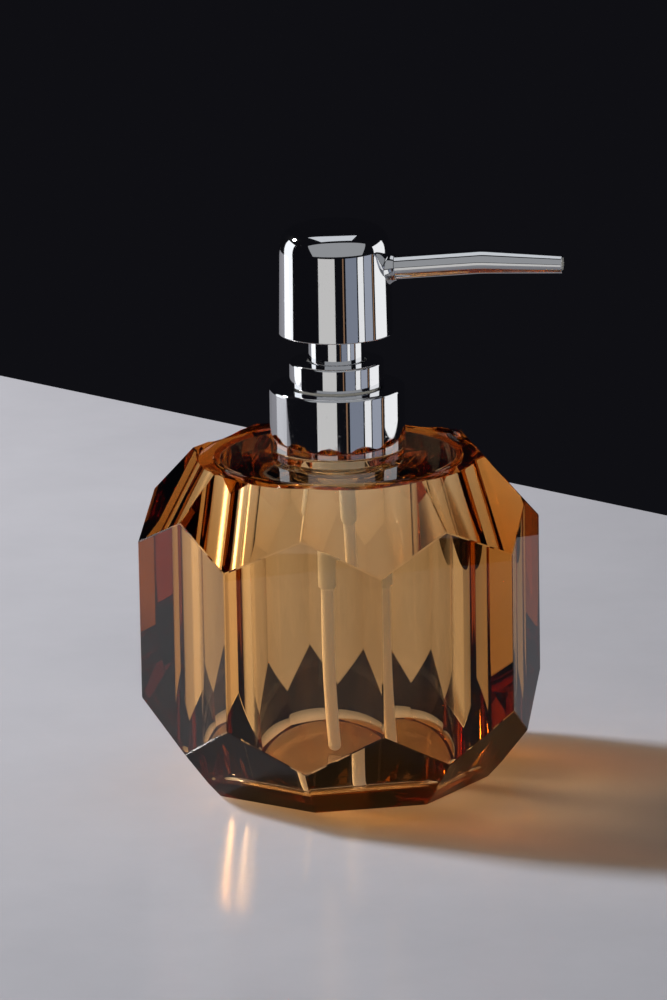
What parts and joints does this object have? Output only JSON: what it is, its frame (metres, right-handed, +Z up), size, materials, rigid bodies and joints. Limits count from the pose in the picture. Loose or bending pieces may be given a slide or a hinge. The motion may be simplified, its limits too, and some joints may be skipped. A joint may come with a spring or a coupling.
{
  "type": "soap pump dispenser",
  "caption": "Faceted clear bottle with a screw-on metal lotion pump: push head, long bent nozzle, spring-loaded piston, ball valves and dip tube.",
  "frame": {"origin": "centre of the bottle's flat foot, on the pump's axis", "axes": "+Z up along the pump's axis, +X square to one belt facet and along the nozzle at rest"},
  "size_m": [0.1021, 0.0924, 0.1379],
  "materials": {
    "amber_clear": "polished clear amber",
    "polished_chrome": "mirror polished plating",
    "spring_steel": "drawn wire and polished balls",
    "white_plastic": "satin",
    "milky_plastic": "translucent",
    "seal_rubber": "smooth"
  },
  "bodies": {
    "bottle": {"faceted_bottle": "amber_clear", "neck_plate": "amber_clear"},
    "pump_body": {"pump_housing": "milky_plastic", "neck_gasket": "seal_rubber", "chaplet": "white_plastic", "guide_cover": "polished_chrome", "ball_retainer": "white_plastic", "return_spring": "spring_steel", "dip_tube": "white_plastic"},
    "closure": {"collar_shell": "polished_chrome", "thread_liner": "white_plastic"},
    "plunger": {"piston_seal": "seal_rubber"},
    "head": {"plunger_stem": "milky_plastic", "stem_sleeve": "polished_chrome", "head_shell": "polished_chrome", "head_core": "white_plastic", "nozzle_boss": "polished_chrome", "nozzle_tube": "polished_chrome", "nozzle_liner": "milky_plastic"},
    "inlet_valve": {"inlet_ball": "spring_steel"},
    "outlet_valve": {"outlet_ball": "spring_steel"}
  },
  "joints": [
    {"name": "pump_rise", "type": "slide", "parent": "bottle", "child": "pump_body", "axis": [0, 0, 1], "range_m": [0, 0.00636]},
    {"name": "closure_turn", "type": "hinge", "parent": "pump_body", "child": "closure", "pos_m": [0, 0, 0.0904], "axis": [0, 0, 1], "range_deg": [0, 540]},
    {"name": "plunger_press", "type": "slide", "parent": "pump_body", "child": "plunger", "axis": [0, 0, -1], "range_m": [0, 0.011], "stiffness_N_per_m": 900, "springref_m": -0.006, "deforming": ["return_spring"]},
    {"name": "head_swivel", "type": "hinge", "parent": "plunger", "child": "head", "pos_m": [0, 0, 0.1246], "axis": [0, 0, 1], "continuous": true},
    {"name": "inlet_ball_lift", "type": "slide", "parent": "pump_body", "child": "inlet_valve", "axis": [0, 0, 1], "range_m": [0, 0.0015]},
    {"name": "outlet_ball_lift", "type": "slide", "parent": "head", "child": "outlet_valve", "axis": [0, 0, 1], "range_m": [0, 0.0012]}
  ],
  "couplings": [
    {"joint": "pump_rise", "follows": "closure_turn", "m_per_rad": 0.00067375}
  ]
}
